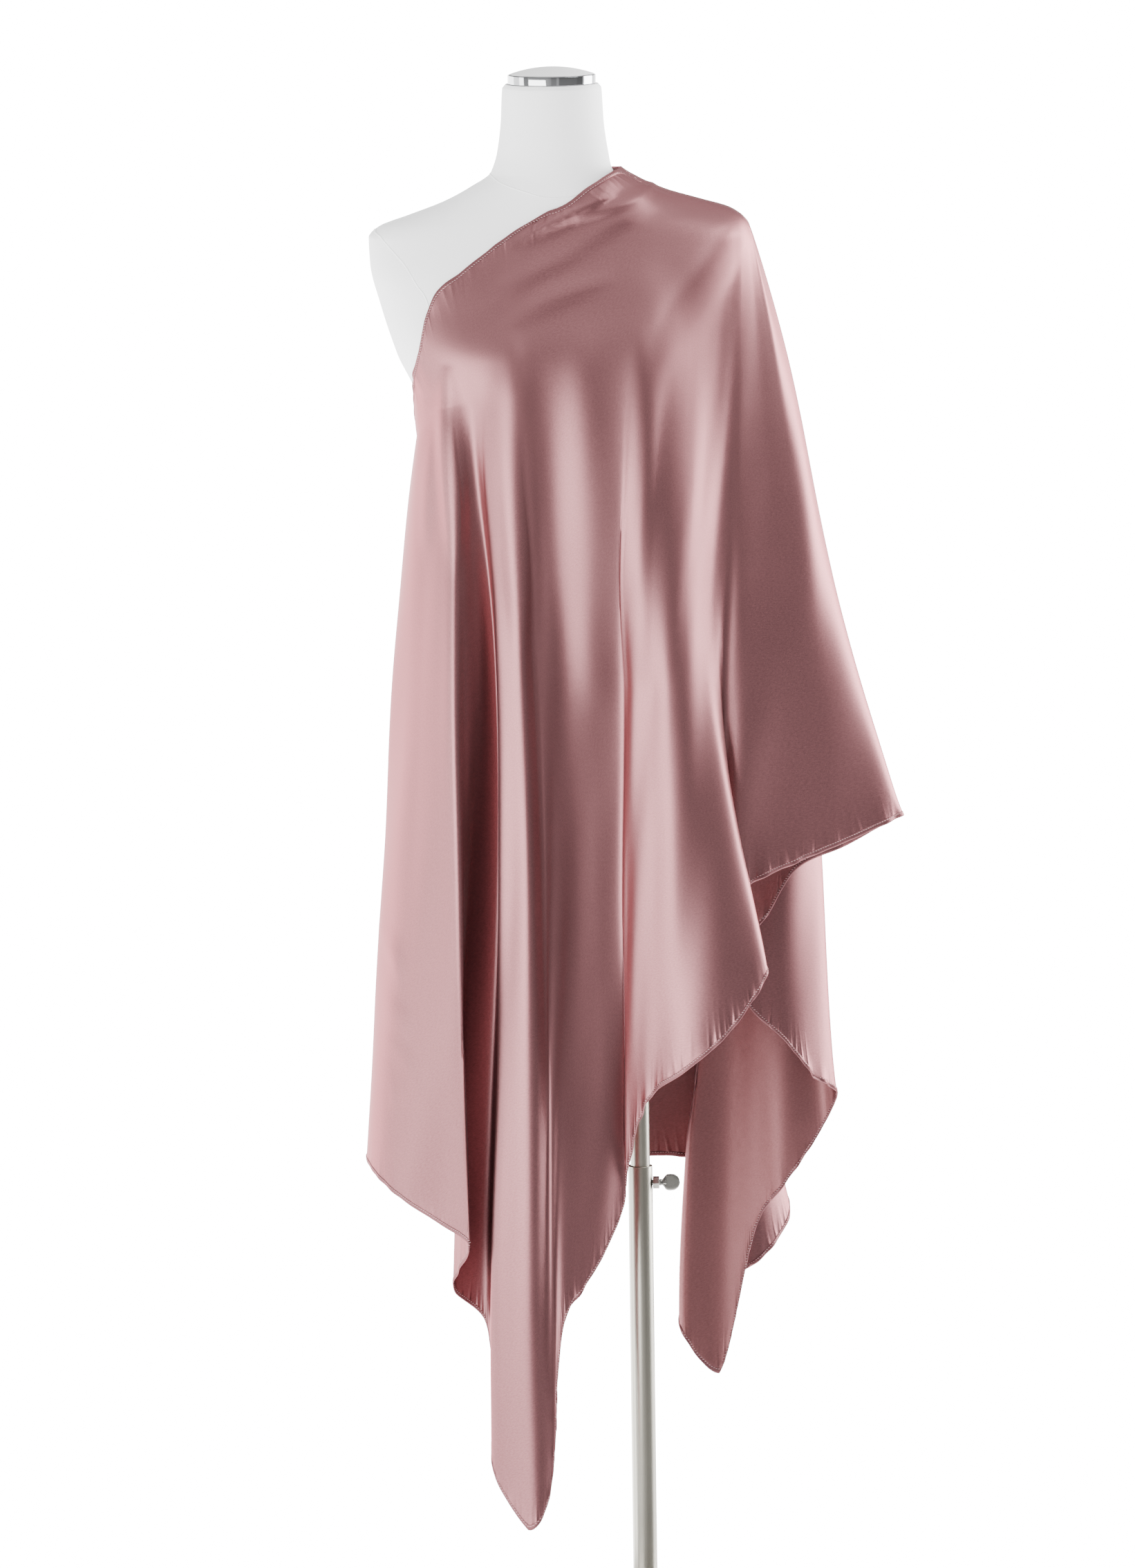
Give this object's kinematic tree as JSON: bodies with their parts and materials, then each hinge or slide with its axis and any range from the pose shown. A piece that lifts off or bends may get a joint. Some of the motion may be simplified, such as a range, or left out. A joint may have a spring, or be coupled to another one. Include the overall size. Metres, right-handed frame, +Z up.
{
  "type": "satin hijab draped on a dress form stand",
  "caption": "Large satin hijab draped over one shoulder of a limbless dress form, on a telescoping tube stand with a round base.",
  "frame": {"origin": "middle of the base plate's underside, on the axis of the tubes", "axes": "+Z up along the tubes, the dress form faces -Y, and +X is to the right of someone who looks at its front"},
  "size_m": [0.553, 0.3808, 1.6153],
  "materials": {
    "satin": "satin",
    "form_cover": "matte",
    "brushed_steel": "satin",
    "chrome": "polished"
  },
  "bodies": {
    "stand": {"base_plate": "brushed_steel", "base_hub": "brushed_steel", "outer_tube": "brushed_steel", "clamp_nut": "brushed_steel"},
    "screw": {"thumb_screw": "brushed_steel"},
    "pole": {"inner_tube": "brushed_steel"},
    "form": {"form_torso": "form_cover", "form_socket": "brushed_steel", "neck_cap": "chrome", "drape_front": "satin", "drape_side": "satin", "drape_tail": "satin", "drape_back": "satin"}
  },
  "joints": [
    {"name": "screw_turn", "type": "hinge", "parent": "stand", "child": "screw", "pos_m": [0.016, 0, 0.471], "axis": [1, 0, 0], "continuous": true},
    {"name": "height_slide", "type": "slide", "parent": "stand", "child": "pole", "axis": [0, 0, 1], "range_m": [-0.1, 0.15]},
    {"name": "form_swivel", "type": "hinge", "parent": "pole", "child": "form", "pos_m": [0, 0, 0.771], "axis": [0, 0, 1], "continuous": true}
  ]
}
